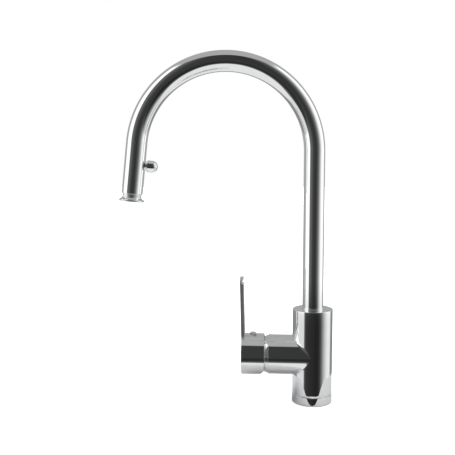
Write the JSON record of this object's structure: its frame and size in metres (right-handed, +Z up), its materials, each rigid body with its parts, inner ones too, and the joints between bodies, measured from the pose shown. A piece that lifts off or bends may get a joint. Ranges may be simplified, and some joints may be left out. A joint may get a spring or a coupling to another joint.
{
  "type": "pull-down kitchen faucet",
  "caption": "Single-hole kitchen faucet: round body with side lever, swivelling arched spout and pull-down spray wand with a diverter button.",
  "frame": {"origin": "centre of the deck face, at the top of the collar that goes through the deck", "axes": "+Z up along the body; the lever branch points along -X; +Y is away from the viewed side"},
  "size_m": [0.269, 0.0606, 0.5287],
  "materials": {
    "chrome": "polished plating",
    "cast_brass": "machined",
    "steel": "fine machined",
    "screen": "woven mesh",
    "white_plastic": "moulded",
    "grey_plastic": "moulded",
    "plug": "metallic grey moulded",
    "ceramic": "lapped",
    "seal_rubber": "moulded",
    "hose_braid": "braided"
  },
  "bodies": {
    "body": {"body_shell": "chrome", "base_ring": "chrome", "base_seal": "seal_rubber", "shank": "cast_brass", "waterway_block": "cast_brass", "swivel_housing": "cast_brass", "thrust_washer": "white_plastic", "spout_lock_screw": "steel", "cartridge_base": "white_plastic", "inlet_seals": "seal_rubber", "disc_seals": "seal_rubber", "fixed_disc": "ceramic", "cartridge_body": "grey_plastic", "cartridge_nut": "cast_brass", "dome_cover": "chrome", "hose_in_body": "hose_braid", "hose_coupling": "cast_brass"},
    "lever_carrier": {"lever_turret": "grey_plastic", "stem_pin": "steel"},
    "disc_slider": {"sliding_disc": "ceramic", "disc_carrier": "white_plastic"},
    "handle": {"handle_hub": "chrome", "lever_blade": "chrome", "lever_stem": "steel", "set_screw": "steel", "screw_plug": "plug", "blade_screws": "steel"},
    "spout": {"spout_tube": "chrome", "spout_sleeve": "cast_brass", "spout_seals": "seal_rubber", "spout_collar": "chrome", "wand_dock": "cast_brass", "hose_in_spout": "hose_braid"},
    "wand": {"wand_shell": "chrome", "wand_guide": "white_plastic", "hose_pull_out": "hose_braid", "hose_nut": "cast_brass", "check_valve": "grey_plastic", "diverter_core": "white_plastic", "button_bezel": "chrome", "nozzle_ring": "chrome", "spray_plate": "grey_plastic", "aerator": "grey_plastic", "aerator_screen": "screen", "button_spring": "steel"},
    "button": {"button_knob": "chrome", "diverter_spool": "grey_plastic"},
    "deck_clamp": {"deck_gasket": "seal_rubber", "deck_washer": "steel", "deck_nut": "cast_brass"}
  },
  "joints": [
    {"name": "spout_swivel", "type": "hinge", "parent": "body", "child": "spout", "pos_m": [0, 0, 0.1], "axis": [0, 0, 1], "range_deg": [-180, 180]},
    {"name": "wand_pull", "type": "slide", "parent": "spout", "child": "wand", "axis": [-0.1015, -0.0073, -0.9948], "range_m": [0, 0.25], "deforming": ["hose_pull_out"]},
    {"name": "button_push", "type": "slide", "parent": "wand", "child": "button", "axis": [-0.9923, -0.0711, 0.1018], "range_m": [0, 0.0015], "stiffness_N_per_m": 600, "springref_m": -0.004, "deforming": ["button_spring"]},
    {"name": "handle_turn", "type": "hinge", "parent": "body", "child": "lever_carrier", "pos_m": [-0.05, 0, 0.05975], "axis": [1, 0, 0], "range_deg": [-45, 45]},
    {"name": "handle_lift", "type": "hinge", "parent": "lever_carrier", "child": "handle", "pos_m": [-0.0495, 0, 0.05975], "axis": [0, -1, 0], "range_deg": [0, 15]},
    {"name": "disc_slide", "type": "slide", "parent": "lever_carrier", "child": "disc_slider", "axis": [0, 0, 1], "range_m": [0, 0.0032]},
    {"name": "mounting_nut_travel", "type": "slide", "parent": "body", "child": "deck_clamp", "axis": [0, 0, -1], "range_m": [-0.024, 0.06]}
  ],
  "couplings": [
    {"joint": "disc_slide", "follows": "handle_lift", "m_per_rad": 0.0119}
  ]
}
